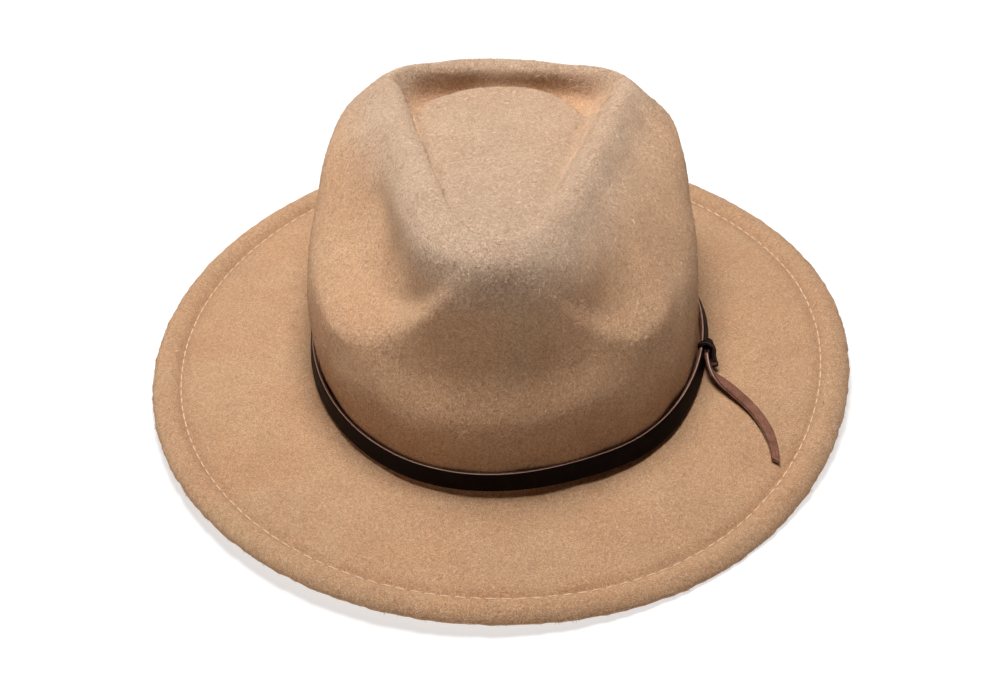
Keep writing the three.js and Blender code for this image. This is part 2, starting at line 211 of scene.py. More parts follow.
def feed(socket, value):
    """Links a Shade into a socket, or writes a plain value there."""
    if isinstance(value, Shade):
        socket.id_data.links.new(value.socket, socket)
    elif socket.type == "RGBA":
        socket.default_value = (*value, 1)
    else:
        socket.default_value = value


class Shade:
    """A socket of a finish. Arithmetic on it adds the nodes that work the result out."""

    def __init__(self, socket):
        self.socket = socket

    def node(self, kind, settings, sockets, output=0):
        made = self.socket.id_data.nodes.new(kind)
        for name, value in settings.items():
            setattr(made, name, value)
        for name, value in sockets.items():
            feed(made.inputs[name], value)
        return Shade(made.outputs[output])

    def maths(self, operation, first, second):
        kind = "ShaderNodeMath"
        if self.socket.type == "VECTOR":
            kind = "ShaderNodeVectorMath"
            first, second = (
                (value,) * 3 if isinstance(value, (int, float)) else value
                for value in (first, second)
            )
        return self.node(kind, {"operation": operation}, {0: first, 1: second})

    def __add__(self, other):
        return self.maths("ADD", self, other)

    def __sub__(self, other):
        return self.maths("SUBTRACT", self, other)

    def __mul__(self, other):
        return self.maths("MULTIPLY", self, other)

    def __rsub__(self, other):
        return self.maths("SUBTRACT", other, self)

    __radd__ = __add__
    __rmul__ = __mul__

    def step(self, low, high):
        """0 below low, 1 above high and a smooth rise between them."""
        settings = {"interpolation_type": "SMOOTHSTEP"}
        return self.node("ShaderNodeMapRange", settings, {"Value": self, 1: low, 2: high})

    def blend(self, under, over):
        """The colour under where this mask is 0, and over where it is 1."""
        settings = {"data_type": "RGBA"}
        return self.node("ShaderNodeMix", settings, {0: self, 6: under, 7: over}, 2)

    def noise(self, scale, detail=2.0, rough=0.5, swirl=0.0):
        """Soft noise at this place, scale lumps to the metre."""
        sockets = {"Vector": self, "Scale": scale, "Detail": detail}
        sockets |= {"Roughness": rough, "Distortion": swirl}
        return self.node("ShaderNodeTexNoise", {}, sockets)

    def bump(self, depth, strength=1.0):
        """The surface's normal with this height raised depth metres."""
        sockets = {"Height": self, "Distance": depth, "Strength": strength}
        return self.node("ShaderNodeBump", {}, sockets)


def new_finish(name, constants):
    """A new material: its shader with the constant values set, and the surface's own place."""
    material = bpy.data.materials.new(name)
    material.use_nodes = True
    shader = material.node_tree.nodes["Principled BSDF"]
    for socket, value in constants.items():
        shader.inputs[socket].default_value = value
    place = Shade(material.node_tree.nodes.new("ShaderNodeTexCoord").outputs["Object"])
    return material, shader.inputs, place


def lace_lay(place):
    """A place on the lace: how far along it, across it and through it."""
    return place.node("ShaderNodeAttribute", {"attribute_name": "lay"}, {}, "Vector")


def flesh_finish(name, dark, light):
    """The lace's flesh side: matt fibres, drawn out along the lace."""
    constants = {"Roughness": 0.85, "Specular IOR Level": 0.25}
    finish, inputs, place = new_finish(name, constants)
    lay = lace_lay(place)
    fibres = (lay * (900.0, 2400.0, 2400.0)).noise(1.0, 4.0, 0.65, 0.6)
    clouds = place.noise(160.0, 3.0)
    feed(inputs["Base Color"], (fibres * 0.85 + clouds * 0.3).step(0.35, 0.8).blend(dark, light))
    feed(inputs["Normal"], fibres.bump(0.00035, 0.7))
    return finish


def edge_finish(name, dark, light, line):
    """The lace's cut edges: brown fibres, dyed black next to the grain with a pale line there."""
    constants = {"Roughness": 0.8, "Specular IOR Level": 0.2}
    finish, inputs, place = new_finish(name, constants)
    lay = lace_lay(place)
    through = lay.node("ShaderNodeSeparateXYZ", {}, {0: lay}, 2)
    fibres = (lay * (500.0, 1600.0, 2600.0)).noise(1.0, 4.0, 0.6, 0.6)
    brown = fibres.step(0.35, 0.75).blend(dark, light)
    pale = through.step(-0.0001, 0.0001) - through.step(0.00035, 0.00055)
    lined = (pale * (0.55 + fibres * 0.7)).blend(brown, line)
    dyed = through.step(0.0005, 0.0007).blend(lined, (0.006, 0.003, 0.002))
    feed(inputs["Base Color"], dyed)
    feed(inputs["Normal"], fibres.bump(0.0003, 0.6))
    return finish


def grain_finish():
    """The lace's grain face: near black, waxed to a soft gloss, creased along its length."""
    finish, inputs, place = new_finish("lace_grain", {"Specular IOR Level": 0.06})
    lay = lace_lay(place)
    creases = (lay * (70.0, 1100.0, 900.0)).noise(1.0, 3.0, 0.55, 0.4)
    pores = place.node("ShaderNodeTexVoronoi", {}, {"Vector": place, "Scale": 2600.0})
    worn = place.noise(220.0, 4.0, 0.6)
    colour = worn.step(0.35, 0.75).blend((0.0045, 0.0020, 0.0015), (0.010, 0.0050, 0.0038))
    feed(inputs["Base Color"], colour)
    feed(inputs["Roughness"], 0.42 + worn * 0.25)
    feed(inputs["Normal"], (creases * 0.7 + pores * 0.3).bump(0.0002, 0.5))
    return finish


grain = grain_finish()
cut_edge = edge_finish(
    "lace_cut_edge", (0.085, 0.036, 0.024), (0.20, 0.098, 0.068), (0.60, 0.37, 0.285))
flesh = flesh_finish("lace_flesh_side", (0.075, 0.030, 0.018), (0.27, 0.112, 0.070))

tail_middle = smooth_line(TAIL_ROUTE, TAIL_STEPS)
tail_share = np.linspace(0, 1, TAIL_STEPS)
tail_turn = smooth(tail_share / TAIL_TWIST)[:, None]
tail_out = np.array(TAIL_SIDE_OUT) * (1 - tail_turn) + np.array((0, 0, 1)) * tail_turn
tail_widths = np.interp(tail_share, *zip(*TAIL_WIDTHS))
tail = lace_strip("lace_long_end", tail_middle, tail_out, tail_widths,
                  (flesh, cut_edge, flesh), TIP_SLANT)
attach(tail, "root")
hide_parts("long_tail")

# The hat body: one piece of wool felt, steamed and blocked over a teardrop form. The crown's top
# is sunk inside a ridge, two fingers' dents are pinched into its front, and the brim's edge is
# folded under and stitched down.
FELT = 0.0026  # thickness
AROUND = 384  # points in a ring
# A section is an oval ring round the crown or the brim: its middle, its reach to the sides, front
# and back, and its height. The height rises towards the front, back and rear corners and leans
# to one side. The oval narrows to the front by its taper and is squared at the rear corners.
SECTION_COLUMNS = (
    "name", "x", "y", "side", "front", "back", "z",
    "rise_front", "rise_back", "rise_corner", "lean", "taper", "corner", "rings",
)
SECTION_ROWS = [
    ("floor_middle", -0.0010, 0.0395, 0, 0, 0, 0.0965, 0, 0, 0, 0, 0, 0, 8),
    ("floor", -0.0005, 0.0425, 0.0200, 0.0640, 0.0200, 0.0960,
     0.0035, -0.0003, -0.0005, 0.0005, 0.2, 0, 8),
    ("floor_edge", 0.0, 0.0455, 0.0355, 0.1060, 0.0295, 0.0940,
     0.0105, 0.0, -0.0005, 0.0006, 0.32, 0.03, 5),
    ("valley", 0.0005, 0.0455, 0.0395, 0.1110, 0.0345, 0.0921,
     0.0121, -0.0041, -0.0071, 0.0, 0.31, 0.05, 5),
    ("wall_foot", 0.0015, 0.0490, 0.0425, 0.1170, 0.0335, 0.0925,
     0.0120, -0.0030, -0.0060, 0.0005, 0.31, 0.22, 6),
    ("inner_lip", 0.0035, 0.0605, 0.0500, 0.1310, 0.0235, 0.0995,
     0.0080, -0.0020, -0.0013, 0.0020, 0.32, 0.19, 6),
    ("crest", 0.0045, 0.0615, 0.0550, 0.1345, 0.0280, 0.1015,
     0.0060, -0.0017, -0.0012, 0.0021, 0.28, 0.10, 11),
    ("shoulder", 0.0025, 0.0465, 0.0680, 0.1290, 0.0500, 0.0920,
     0.0115, 0.0030, -0.0010, 0.0022, 0.21, 0.13, 14),
    ("upper_wall", 0.0020, 0.0315, 0.0795, 0.1185, 0.0720, 0.0790,
     0.0110, 0.0035, 0, 0, 0.15, 0.13, 14),
    ("middle_wall", 0.0017, 0.0155, 0.0853, 0.1058, 0.0890, 0.0585,
     -0.0015, 0.0020, 0, 0, 0.02, 0.03, 13),
    ("lower_wall", 0.0021, 0.0038, 0.0862, 0.1045, 0.1010, 0.0345, 0.0035, 0, 0, 0, 0, 0.01, 10),
    ("band_top", 0.0038, 0.0005, 0.0849, 0.1040, 0.1045, 0.0170, 0, 0, 0, 0, 0, 0, 5),
    ("band_foot", 0.0038, 0.0005, 0.0852, 0.1044, 0.1050, 0.0090, 0, 0, 0, 0, 0, 0, 4),
    ("break", 0.0027, 0.0004, 0.0896, 0.1079, 0.1083, 0.0055, 0, 0, 0, 0, 0, 0, 9),
    ("brim_inner", 0.0016, 0.0001, 0.1086, 0.1264, 0.1260, 0.0049, 0, 0, 0, 0, 0, 0, 8),
    ("brim_middle", 0.0006, 0.0, 0.1276, 0.1460, 0.1456, 0.0043, 0, 0, 0, 0, 0, 0, 7),
    ("stitch_line", 0.0, 0.0, 0.1430, 0.1615, 0.1615, 0.0036, 0, 0, 0, 0, 0, 0, 0),
]
SECTIONS = [dict(zip(SECTION_COLUMNS, row)) for row in SECTION_ROWS]
SECTION_NUMBER = {section["name"]: k for k, section in enumerate(SECTIONS)}
CREST = SECTION_NUMBER["crest"]
BAND_TOP = SECTION_NUMBER["band_top"]
BREAK = SECTION_NUMBER["break"]
STITCH_LINE = SECTION_NUMBER["stitch_line"]
# The folded edge beyond the stitches: out from them, and up from the brim's face there. The
# last rows are the cut end of the fold, under the brim.
UNDER_STITCHES = (0.0006, -0.0026)  # where the second row of stitches runs
WELT_ROWS = [
    (0.0005, -0.0010), (0.0012, -0.0002), (0.0022, 0.0008), (0.0036, 0.0017), (0.0056, 0.0023),
    (0.0077, 0.0022), (0.0095, 0.0017), (0.0109, 0.0009), (0.0118, 0.0), (0.0123, -0.0008),
    (0.0125, -0.0014), (0.0124, -0.0022), (0.0118, -0.0030), (0.0109, -0.0034),
    (0.0095, -0.0036), (0.0070, -0.0037), (0.0040, -0.0037), (0.0018, -0.0036),
    UNDER_STITCHES, (-0.0004, -0.0035), (-0.0016, -0.0037), (-0.0024, -0.0036),
    (-0.0028, -0.0032), (-0.0028, -0.0027),
]
EDGE_OUT = 0.0125  # the furthest row
EDGE_RIPPLES = [(41, 0.00011), (67, 0.00012), (113, 0.00013), (151, 0.00012)]  # waves, height
# The stitches pull a groove into the brim. The felt in and around it, and under the fold by the
# lower stitches, is darkened with painted shade.
GROOVE_DEPTH = 0.0013
GROOVE_PLACE = 0.28  # how far inside the stitch line the groove starts, in sections
GROOVE_SHADE_PLACE = 0.16  # how far inside the stitch line the felt is darker, in sections
GROOVE_SHADE_OUT = 0.0020  # how far outside it
FOLD_PLACE = 0.2  # where the brim's underside comes out from the folded edge, in sections
BRIM_WAVES = [  # bearing, lift of the brim's edge
    (-180, -0.0003), (-135, -0.0006), (-90, 0.0020), (-40, 0.0050),
    (0, 0.0038), (40, -0.0006), (90, 0.0065), (140, -0.0006),
]
# The dents that two fingers pinch into the front, and the flat beside its middle. Each starts
# at its foot, which lifts towards the front, is full at full, and fades between fade and top.
PINCH_COLUMNS = ("bearing", "spread", "foot", "full", "fade", "top", "depth", "lift")
PINCH_ROWS = [
    (-49, 26, 0.0520, 0.0680, 0.0740, 0.1120, 0.0140, 0.020),
    (43, 17, 0.0560, 0.0680, 0.0700, 0.1150, 0.0045, 0.014),
    (22, 20, -0.0200, 0.0, 0.0300, 0.0700, 0.0026, 0),
]
PINCHES = [dict(zip(PINCH_COLUMNS, row)) for row in PINCH_ROWS]
# Soft hollows in the walls and, where the depth is below 0, swellings. Reach is up and down.
DENT_COLUMNS = ("bearing", "spread", "height", "reach", "depth")
DENT_ROWS = [
    (-70, 17, 0.0790, 0.0200, 0.0075),
    (-48, 20, 0.0560, 0.0100, -0.0025),
    (16, 20, 0.0430, 0.0110, -0.0025),
    (45, 15, 0.0590, 0.0120, -0.0045),
    (72, 20, 0.0800, 0.0200, 0.0045),
    (-105, 30, 0.0220, 0.0080, -0.0030),
]
DENTS = [dict(zip(DENT_COLUMNS, row)) for row in DENT_ROWS]
TAPER_FROM = -0.25  # cosine of the bearing where a ring starts to narrow
TAPER_RUN = 0.9  # and how much further the cosine goes until the taper is full
RISE_POWER = 1.5  # how quickly the rises and the brim's waves set in
INSIDE_SHARE = 0.5  # rings inside the hat for each ring outside
HAND_WAVES = [  # slight unevenness of hand-blocked felt: waves to the metre, and height
    ((21, 13, -9), 0.00022), ((-12, 27, 17), 0.00018), ((33, -8, 25), 0.00014),
    ((-29, -31, 14), 0.00010), ((47, 22, -38), 0.00008),
]


def around(rows, column, degrees):
    """A smooth closed curve through a table of rows sorted by bearing."""
    starts = np.array([row[0] for row in rows]) - rows[0][0]
    values = np.array([row[column] for row in rows])
    at = np.mod(degrees - rows[0][0], 360)
    i = np.searchsorted(starts, at, side="right") - 1
    t = (at - starts[i]) / (np.append(starts[1:], 360)[i] - starts[i])
    before, start, end, after = (values[(i + k) % len(rows)] for k in (-1, 0, 1, 2))
    leave, arrive = (end - before) / 2, (after - start) / 2
    bend = 3 * (end - start) - 2 * leave - arrive
    return start + leave * t + bend * t**2 + (2 * (start - end) + leave + arrive) * t**3


def ring_point(section, bearing):
    """Points of a section's ring."""
    across, along = np.sin(bearing), np.cos(bearing)
    front, rear = np.maximum(along, 0), np.maximum(-along, 0)
    corner = np.where(along < 0, np.sin(2 * bearing) ** 2, 0)
    squared = 1 + section["corner"] * corner
    narrowed = 1 - section["taper"] * smooth((along - TAPER_FROM) / TAPER_RUN)
    x = section["x"] + section["side"] * across * narrowed * squared
    y = section["y"] + (section["back"] * rear - section["front"] * front) * squared
    z = (
        section["z"]
        + section["rise_front"] * front**RISE_POWER
        + section["rise_back"] * rear**RISE_POWER
        + section["rise_corner"] * corner
        - section["lean"] * across
    )
    return np.stack([x, y, z], -1)


def pressed_in(point, middle, depth):
    """Moves points towards the crown's middle, square to the bearing of a dent's middle."""
    point[..., 0] -= math.sin(math.radians(middle)) * depth
    point[..., 1] += math.cos(math.radians(middle)) * depth


def aside(bearing, dent):
    """How far bearings lie to the side of a dent, in its spreads."""
    off = np.degrees(bearing) - dent["bearing"]
    return (np.mod(off + 180, 360) - 180) / dent["spread"]


def pinched(point, bearing, place):
    """The dents that fingers press into the crown, and the soft hollows and swellings."""
    strength = smooth(place - CREST) * smooth(BREAK + 0.5 - place)
    height = point[..., 2].copy()
    for dent in PINCHES:
        forward = np.maximum(aside(bearing, dent) * -np.sign(dent["bearing"]), 0)
        foot = dent["foot"] + dent["lift"] * forward**2
        rise = smooth((height - foot) / (dent["full"] - dent["foot"]))
        fall = 1 - smooth((height - dent["fade"]) / (dent["top"] - dent["fade"]))
        shape = np.exp(-aside(bearing, dent) ** 2) * rise * fall
        pressed_in(point, dent["bearing"], dent["depth"] * shape * strength)
    for dent in DENTS:
        up = (height - dent["height"]) / dent["reach"]
        shape = np.exp(-aside(bearing, dent) ** 2 - up**2)
        pressed_in(point, dent["bearing"], dent["depth"] * shape * strength)
    return point


def outer_face(bearing, place):
    """Points on the felt's outer face. place counts sections, from the middle of the top."""
    k = min(int(place), STITCH_LINE - 1)
    b = ring_point(SECTIONS[k], bearing)
    c = ring_point(SECTIONS[k + 1], bearing)
    a = ring_point(SECTIONS[k - 1], bearing) if k > 0 else 2 * b - c
    d = ring_point(SECTIONS[k + 2], bearing) if k + 2 <= STITCH_LINE else 2 * c - b
    point = pinched(between(a, b, c, d, place - k), bearing, place)
    wave = np.clip((place - BREAK + 0.5) / (STITCH_LINE - BREAK + 0.5), 0, 1)
    point[..., 2] += around(BRIM_WAVES, 1, np.degrees(bearing)) * wave**RISE_POWER
    return point


def outwards(bearing, place):
    """The direction straight out of the felt's outer face."""
    turn, move = 0.01, 0.02  # radians and sections, either way from the place
    if place == 0:
        return np.tile((0.0, 0.0, 1.0), (len(bearing), 1))
    low, high = max(place - move, 0), min(place + move, STITCH_LINE)
    sideways = outer_face(bearing + turn, place) - outer_face(bearing - turn, place)
    down = outer_face(bearing, high) - outer_face(bearing, low)
    return unit(np.cross(down, sideways))


def uneven(point):
    """How far hand-blocked felt stands off its block's shape at a point."""
    return sum(high * np.sin(point @ np.array(wave) * math.tau) for wave, high in HAND_WAVES)


def welt_point(bearing, out, up):
    """Points of the folded edge, which rests flat where it reaches down to the surface."""
    stitch = outer_face(bearing, STITCH_LINE)
    brim = SECTIONS[STITCH_LINE]
    level = stitch / (brim["side"] ** 2, brim["front"] ** 2, 1) * (1, 1, 0)
    ripple = sum(high * np.sin(waves * bearing) for waves, high in EDGE_RIPPLES)
    point = stitch + unit(level) * (out + ripple * out / EDGE_OUT)[:, None]
    point[..., 2] = np.maximum(stitch[..., 2] + up, 0)
    return point


def felt_ring(bearing, place, inner):
    """One ring of the felt, on its outer face or a felt's thickness inside it."""
    point = outer_face(bearing, place)
    out = outwards(bearing, place)
    sway = uneven(point) * smooth(STITCH_LINE - 1 - place)
    groove = GROOVE_DEPTH * smooth(1 - (STITCH_LINE - place) / GROOVE_PLACE)
    if inner:
        return point + out * (sway - FELT)[:, None]
    return point + out * (sway - groove)[:, None]


def section_places(share):
    """Places of the rings, with this share of each section's rings."""
    return [
        k + i / max(round(section["rings"] * share), 1)
        for k, section in enumerate(SECTIONS[:-1])
        for i in range(max(round(section["rings"] * share), 1))
    ]


bearings = np.linspace(0, math.tau, AROUND, endpoint=False)
# The last ring but one shapes the groove close to the stitches.
outside = section_places(1.0) + [STITCH_LINE - GROOVE_PLACE / 4, STITCH_LINE]
inside = [place for place in section_places(INSIDE_SHARE) if place < STITCH_LINE - FOLD_PLACE]
inside.append(STITCH_LINE - FOLD_PLACE)
felt_rings = [felt_ring(bearings, place, False) for place in outside]
felt_rings += [welt_point(bearings, out, up) for out, up in WELT_ROWS]
felt_rings += [felt_ring(bearings, place, True) for place in reversed(inside)]
felt_rings[0], felt_rings[-1] = felt_rings[0][:1], felt_rings[-1][:1]
starts = np.concatenate([[0], np.cumsum([len(ring) for ring in felt_rings])])
turn = np.arange(AROUND)
following = np.roll(turn, -1)
faces = [(0, a, b) for a, b in zip(starts[1] + turn, starts[1] + following)]
for upper, lower in zip(starts[1:-3], starts[2:-2]):
    quads = np.stack([upper + turn, lower + turn, lower + following, upper + following], -1)
    faces += quads.tolist()
last = starts[-2]
faces += [(last, a, b) for a, b in zip(starts[-3] + following, starts[-3] + turn)]
felt_mesh = bpy.data.meshes.new("felt_body")
felt_mesh.from_pydata(np.vstack(felt_rings).tolist(), [], faces)
felt_mesh.shade_smooth()
# Painted shade for the groove: a share for each ring, fullest at the stitches and under the fold.
groove_shade_rings = [math.exp(-((place - STITCH_LINE) / GROOVE_SHADE_PLACE) ** 2) for place in outside]
groove_shade_rings += [math.exp(-(max(out, 0.0) / GROOVE_SHADE_OUT) ** 2) for out, _ in WELT_ROWS]
groove_shade_rings += [0.0] * len(inside)
dark = felt_mesh.attributes.new("groove_shade", "FLOAT", "POINT")
dark.data.foreach_set("value", np.repeat(groove_shade_rings, [len(ring) for ring in felt_rings]))

felt_finish, felt_inputs, place = new_finish("wool_felt", {
    "Roughness": 0.92, "Specular IOR Level": 0.15,
    "Sheen Weight": 0.20, "Sheen Roughness": 0.5, "Sheen Tint": (0.95, 0.76, 0.58, 1),
})
fibres = place.noise(2500.0, 2.0, 0.75, 2.0)
tufts = place.noise(900.0, 3.0, 0.6, 1.2)
clouds = place.noise(38.0, 3.0, 0.5, 0.4)
warmth = (place + (0.3, 0.1, 0.7)).noise(22.0, 2.0, 0.5, 0.6)
height = place.node("ShaderNodeSeparateXYZ", {}, {0: place}, 2)
ground = warmth.step(0.35, 0.68).blend((0.615, 0.358, 0.200), (0.605, 0.370, 0.212))
# Painted highlight: the crown's top is painted greyer, where the lamp above lights it most.
top_painted_highlight = height.step(0.076, 0.104).blend(ground, (0.490, 0.348, 0.246))
shaded = clouds.step(0.3, 0.75).blend((0.955, 0.930, 0.915), (1.03, 1.04, 1.04))
speckle = (fibres * 0.8 + tufts * 0.2).step(0.36, 0.64).blend(
    (0.46, 0.41, 0.36), (1.44, 1.47, 1.50))


def tinted(colour, tint):
    """A colour multiplied by another."""
    settings = {"data_type": "RGBA", "blend_type": "MULTIPLY"}
    return colour.node("ShaderNodeMix", settings, {0: 1.0, 6: colour, 7: tint}, 2)


# Painted shade: a darker tint in and around the stitched groove.
groove_shade = place.node("ShaderNodeAttribute", {"attribute_name": "groove_shade"}, {}, "Fac")
groove = groove_shade.blend((1.0, 1.0, 1.0), (0.88, 0.84, 0.80))
colour = tinted(tinted(tinted(top_painted_highlight, shaded), speckle), groove)
feed(felt_inputs["Base Color"], colour)
feed(felt_inputs["Normal"], (fibres * 0.8 + tufts * 0.4).bump(0.0009, 0.8))
felt_mesh.materials.append(felt_finish)
felt_body = placed("felt_body", felt_mesh)
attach(felt_body, "root")
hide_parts("felt_crown_and_brim")

# The nap: short wool fibres that brushing has raised from the felt's outer face. They lie along
# it in every direction, stand off a little at their tips and soften the hat's outline.
CROWN_NAP = {"count": 64000, "longest": 0.0042}
BRIM_NAP = {"count": 45000, "longest": 0.0030}
NAP_SHORTEST = 0.0012
NAP_WIDTH = 0.00015
NAP_RISE = 0.22  # the most that a tip stands off, as a share of the fibre's length
NAP_TILT = 0.7  # radians that a flat fibre turns about its own length
NAP_BEND = 0.6  # radians that its outer half may turn aside
NAP_SINK = 0.00005  # depth of its root in the felt
NAP_LOWEST = 0.0001  # the hat stands on its brim, so fibres there lie flat above the floor
NAP_EDGE_ROWS = 12  # rows of the folded edge that have nap
EDGE_NAP = 1.5  # fibres on the folded edge for one on the same area of the brim

nap_finish, nap_inputs, place = new_finish("felt_nap", {"Specular IOR Level": 0.2})
strands = place.noise(700.0, 2.0)
pale = strands.step(0.35, 0.65)
feed(nap_inputs["Base Color"], pale.blend((0.32, 0.18, 0.10), (0.80, 0.58, 0.41)))
feed(nap_inputs["Roughness"], 0.8 + strands * 0.2)


def raise_nap(name, rings, share, count, longest):
    """Loose fibres on the face that rings of points make, with a share for each ring."""
    sideways = (np.roll(rings, -1, axis=1) - rings)[:-1]
    down = rings[1:] - rings[:-1]
    off_felt = np.cross(down, sideways)
    chance = (np.linalg.norm(off_felt, axis=-1) * share[:-1, None]).ravel()
    dice = np.random.default_rng(count)
    picked = dice.choice(chance.size, count, p=chance / chance.sum())
    corner, sideways, down, off_felt = (
        part.reshape(-1, 3)[picked] for part in (rings[:-1], sideways, down, off_felt)
    )
    across, along, lay, long, rise, tilt, bend = dice.random((7, count, 1))
    off_felt = unit(off_felt)
    first = unit(sideways)
    second = np.cross(off_felt, first)
    start = corner + sideways * across + down * along - off_felt * NAP_SINK
    half = (NAP_SHORTEST + (longest - NAP_SHORTEST) * long**2) / 2
    lay = lay * math.tau
    bent = lay + (bend * 2 - 1) * NAP_BEND
    tilt = (tilt * 2 - 1) * NAP_TILT
    up = off_felt * NAP_RISE * rise**2
    middle = start + (first * np.cos(lay) + second * np.sin(lay) + up) * half
    tip = middle + (first * np.cos(bent) + second * np.sin(bent) + up) * half
    wide = (second * np.cos(lay) - first * np.sin(lay)) * np.cos(tilt) + off_felt * np.sin(tilt)
    wide = wide * NAP_WIDTH / 2
    points = np.stack([start - wide, start + wide, middle + wide, middle - wide, tip], 1)
    points[..., 2] = np.maximum(points[..., 2], NAP_LOWEST)
    roots = np.arange(count)[:, None] * 5
    mesh = bpy.data.meshes.new(name)
    faces = (roots + (0, 1, 2, 3)).tolist() + (roots + (3, 2, 4)).tolist()
    mesh.from_pydata(points.reshape(-1, 3).tolist(), [], faces)
    mesh.materials.append(nap_finish)
    piece = placed(name, mesh)
    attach(piece, "root")


crown_rings = np.stack([ring for ring, at in zip(felt_rings, outside) if 0 < at < BAND_TOP])
raise_nap("felt_nap_crown", crown_rings, np.ones(len(crown_rings)), **CROWN_NAP)
brim_places = [at for at in outside if at > BREAK - 0.5]
brim_start = len(outside) - len(brim_places)
brim_rings = np.stack(felt_rings[brim_start : len(outside) + NAP_EDGE_ROWS])
brim_share = np.ones(len(brim_rings))
brim_share[-NAP_EDGE_ROWS:] = EDGE_NAP
raise_nap("felt_nap_brim", brim_rings, brim_share, **BRIM_NAP)

# The stitching that holds the folded edge: one row of pale cotton, sunk into the felt on top of
# the brim and under it.
STITCH_PITCH = 0.0058
STITCH_LENGTH = 0.0042
THREAD = 0.00042  # thickness
STITCH_SPANS = 8
THREAD_SIDES = 6
STITCH_SINK = 0.00030  # depth of the ends below the middle
THREAD_THIN = 0.45  # share of its thickness that the thread loses at a stitch's ends

thread_finish, thread_inputs, place = new_finish(
    "stitching_thread", {"Roughness": 0.75, "Specular IOR Level": 0.25})
twist = place.noise(2600.0, 2.0)
pale = twist.step(0.3, 0.7)
feed(thread_inputs["Base Color"], pale.blend((0.62, 0.46, 0.31), (0.92, 0.76, 0.58)))
feed(thread_inputs["Normal"], twist.bump(0.0001, 0.6))


def stitch_row(name, ring, lift):
    """A row of short thread stitches along a closed ring of points."""
    loop = np.vstack([ring, ring[:1]])
    gone = np.concatenate([[0], np.cumsum(np.linalg.norm(np.diff(loop, axis=0), axis=1))])
    count = round(gone[-1] / STITCH_PITCH)
    starts = np.arange(count)[:, None] * gone[-1] / count
    share = np.linspace(0, 1, STITCH_SPANS + 1)
    at = starts + share * STITCH_LENGTH
    line = np.stack([np.interp(at, gone, loop[:, axis]) for axis in range(3)], -1)
    arch = np.sin(share * math.pi) ** 0.5
    line[..., 2] += lift * (arch * STITCH_SINK + THREAD / 2 - STITCH_SINK)
    line[..., 2] = np.maximum(line[..., 2], THREAD / 2)
    along = unit(np.gradient(line, axis=1))
    side = unit(np.cross(along, (0.0, 0.0, 1.0)))
    up = np.cross(side, along)
    angle = np.linspace(0, math.tau, THREAD_SIDES, endpoint=False)
    thick = THREAD / 2 * (1 - THREAD_THIN + THREAD_THIN * arch)[None, :, None, None]
    circle = np.cos(angle)[:, None] * side[:, :, None] + np.sin(angle)[:, None] * up[:, :, None]
    points = line[:, :, None] + circle * thick
    grid = np.arange(points[..., 0].size).reshape(points.shape[:3])
    rolled = np.roll(grid, -1, axis=2)
    quads = np.stack([grid[:, :-1], rolled[:, :-1], rolled[:, 1:], grid[:, 1:]], -1)
    ends = grid[:, 0].tolist() + grid[:, -1, ::-1].tolist()
    mesh = bpy.data.meshes.new(name)
    mesh.from_pydata(points.reshape(-1, 3).tolist(), [], quads.reshape(-1, 4).tolist() + ends)
    mesh.shade_smooth()
    mesh.materials.append(thread_finish)
    piece = placed(name, mesh)
    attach(piece, "root")


stitch_row("stitching_top", felt_ring(bearings, STITCH_LINE, False), 1)
stitch_row("stitching_under", welt_point(bearings, *UNDER_STITCHES), -1)

# The band: the same black leather lace laid once round the foot of the crown, grain side out. It
# hangs a little open at its lower edge, where it isn't glued or sewn to the felt.
LACE_WIDTH = 0.0080
BAND_STEPS = 420
KNOT_BEARING = 80
LACE_ROWS = [  # bearing, height of the foot, gap to the felt, and how far the foot stands out
    (-165, 0.0084, 0.0004, 0.0008), (-115, 0.0083, 0.0004, 0.0008),
    (-65, 0.0080, 0.0004, 0.0010), (-30, 0.0080, 0.0004, 0.0013),
    (0, 0.0094, 0.0004, 0.0010), (20, 0.0088, 0.0004, 0.0022),
    (42, 0.0072, 0.0005, 0.0034), (65, 0.0068, 0.0008, 0.0020),
    (80, 0.0076, 0.0012, 0.0016), (98, 0.0080, 0.0016, 0.0029),
    (125, 0.0080, 0.0010, 0.0020), (155, 0.0083, 0.0005, 0.0010),
]


def lace_frame(degrees):
    """Where the lace lies round the crown: its middle, and the directions up it and out of it."""
    bearing = np.radians(degrees)
    foot, gap, flare = (around(LACE_ROWS, column, degrees) for column in (1, 2, 3))
    height = np.sqrt(LACE_WIDTH**2 - flare**2)
    level = unit(outwards(bearing, BAND_TOP) * (1, 1, 0))
    up = unit(np.array((0, 0, 1)) * height[:, None] - level * flare[:, None])
    out = unit(level * height[:, None] + np.array((0, 0, 1)) * flare[:, None])
    middle = outer_face(bearing, BAND_TOP) + level * (gap + (flare + LACE_THICK) / 2)[:, None]
    middle[:, 2] = foot + height / 2
    return middle, up, out


band_degrees = np.linspace(0, 360, BAND_STEPS, endpoint=False)
band_middle, _, band_out = lace_frame(band_degrees)
band = lace_strip("lace_band", band_middle, band_out, [LACE_WIDTH] * BAND_STEPS,
                  (grain, cut_edge, flesh), closed=True)
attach(band, "root")
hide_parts("hat_band")

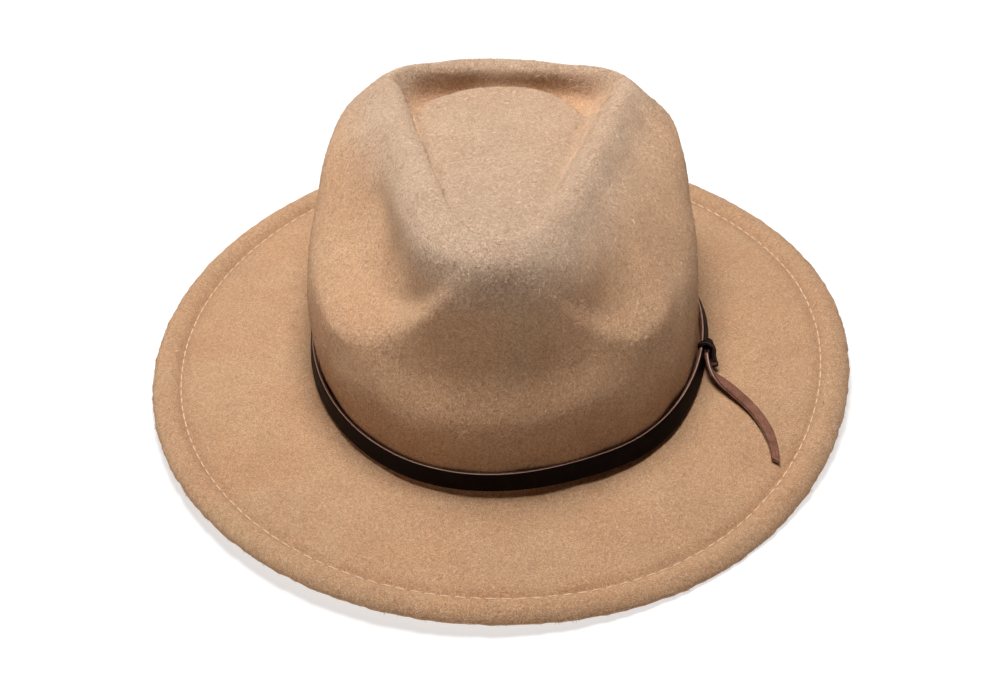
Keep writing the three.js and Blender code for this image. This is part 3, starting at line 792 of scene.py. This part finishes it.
# The knot: the lace's ends cross, one wraps over the band and comes out as a short stub, and the
# other is held inside the wrap, where the long end starts.
KNOT_WRAP = [  # along to the back, up and out from the middle of the band
    (0.0019, 0.0015, 0.0004), (0.0019, 0.0045, 0.0008), (0.0016, 0.0054, 0.0025),
    (0.0012, 0.0043, 0.0044), (0.0007, 0.0016, 0.0049), (-0.0002, -0.0014, 0.0043),
    (-0.0018, -0.0036, 0.0039), (-0.0036, -0.0047, 0.0039),
]
KNOT_ROOT = [(0.0036, 0.0006, 0.0028), (0.0010, 0.0004, 0.0029), (-0.0014, 0.0, 0.0028)]
WRAP_MIDDLE = (0.0, 0.0015, 0.0026)
KNOT_WIDTH = 0.0054
WRAP_STEPS = 70
ROOT_STEPS = 20

knot_middle, knot_up, knot_out = (part[0] for part in lace_frame(np.array([KNOT_BEARING])))
knot_along = np.cross(knot_up, knot_out)


def knot_place(rows):
    """Points of the knot in the hat's own frame."""
    return knot_middle + np.array(rows) @ np.stack([knot_along, knot_up, knot_out])


# Painted shade: the knot's edges and flesh side are the same leather, painted darker.
knot_edge_painted_shade = edge_finish(
    "knot_edge_painted_shade", (0.012, 0.006, 0.005), (0.055, 0.026, 0.019), (0.11, 0.058, 0.044))
knot_flesh_painted_shade = flesh_finish("knot_flesh_side_painted_shade", (0.020, 0.010, 0.008), (0.11, 0.050, 0.034))
wrap_line = smooth_line(knot_place(KNOT_WRAP), WRAP_STEPS)
wrap = lace_strip("lace_knot", wrap_line, wrap_line - knot_place(WRAP_MIDDLE),
                  [KNOT_WIDTH] * WRAP_STEPS, (grain, knot_edge_painted_shade, knot_flesh_painted_shade))
root_line = smooth_line(knot_place(KNOT_ROOT), ROOT_STEPS)
root = lace_strip("lace_knot_root", root_line, np.tile(knot_out, (ROOT_STEPS, 1)),
                  [KNOT_WIDTH] * ROOT_STEPS, (flesh, knot_edge_painted_shade, grain))
for piece in (wrap, root):
    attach(piece, "root")
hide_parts("band_knot")

# The studio: a pale floor lit by its own painted glow, stronger away from the hat, so that the
# hat's shadow stays faint. A lamp hangs above the hat, and a wide weak one stands on its -X side.
FLOOR_HALF = 3.0
LAMPS = {
    "key": {"place": (-0.02, 0.045, 0.68), "size": 0.34, "watts": 7.0, "colour": (1.0, 1.0, 1.0)},
    "fill": {"place": (-1.3, -0.4, 0.18), "size": 0.8, "watts": 3.2, "colour": (1.0, 0.87, 0.75)},
}
SKY = 0.045
SKY_COLOUR = (1.0, 0.80, 0.62, 1)
LIGHT_TARGET = Vector((0, 0, 0.05))

floor_mesh = bpy.data.meshes.new("floor")
square = [(-1, -1), (1, -1), (1, 1), (-1, 1)]
floor_mesh.from_pydata([(x * FLOOR_HALF, y * FLOOR_HALF, 0) for x, y in square], [], [(0, 1, 2, 3)])
floor_finish, floor_inputs, place = new_finish("studio_floor", {"Roughness": 0.9})
feed(floor_inputs["Base Color"], place.noise(3.0).blend((0.39, 0.39, 0.39), (0.41, 0.41, 0.41)))
apart = place.node("ShaderNodeVectorMath", {"operation": "LENGTH"}, {0: place}, 1)
# Painted light: the floor's glow is weaker near the hat and stronger from 0.15 to 0.6 m out.
floor_inputs["Emission Strength"].default_value = 1.0
feed(floor_inputs["Emission Color"], apart.step(0.15, 0.60).blend((0.66,) * 3, (0.90,) * 3))
floor_mesh.materials.append(floor_finish)
placed("floor", floor_mesh)

for name, lamp in LAMPS.items():
    light = bpy.data.lights.new(name, "AREA")
    light.shape = "DISK"
    light.size = lamp["size"]
    light.energy = lamp["watts"]
    light.color = lamp["colour"]
    stand = placed(name, light)
    stand.location = lamp["place"]
    aim = LIGHT_TARGET - Vector(lamp["place"])
    stand.rotation_euler = aim.to_track_quat("-Z", "Y").to_euler()
sky = bpy.data.worlds.new("sky")
sky.use_nodes = True
sky.node_tree.nodes["Background"].inputs["Color"].default_value = SKY_COLOUR
sky.node_tree.nodes["Background"].inputs["Strength"].default_value = SKY
bpy.context.scene.world = sky
bpy.context.scene.view_settings.view_transform = "Standard"
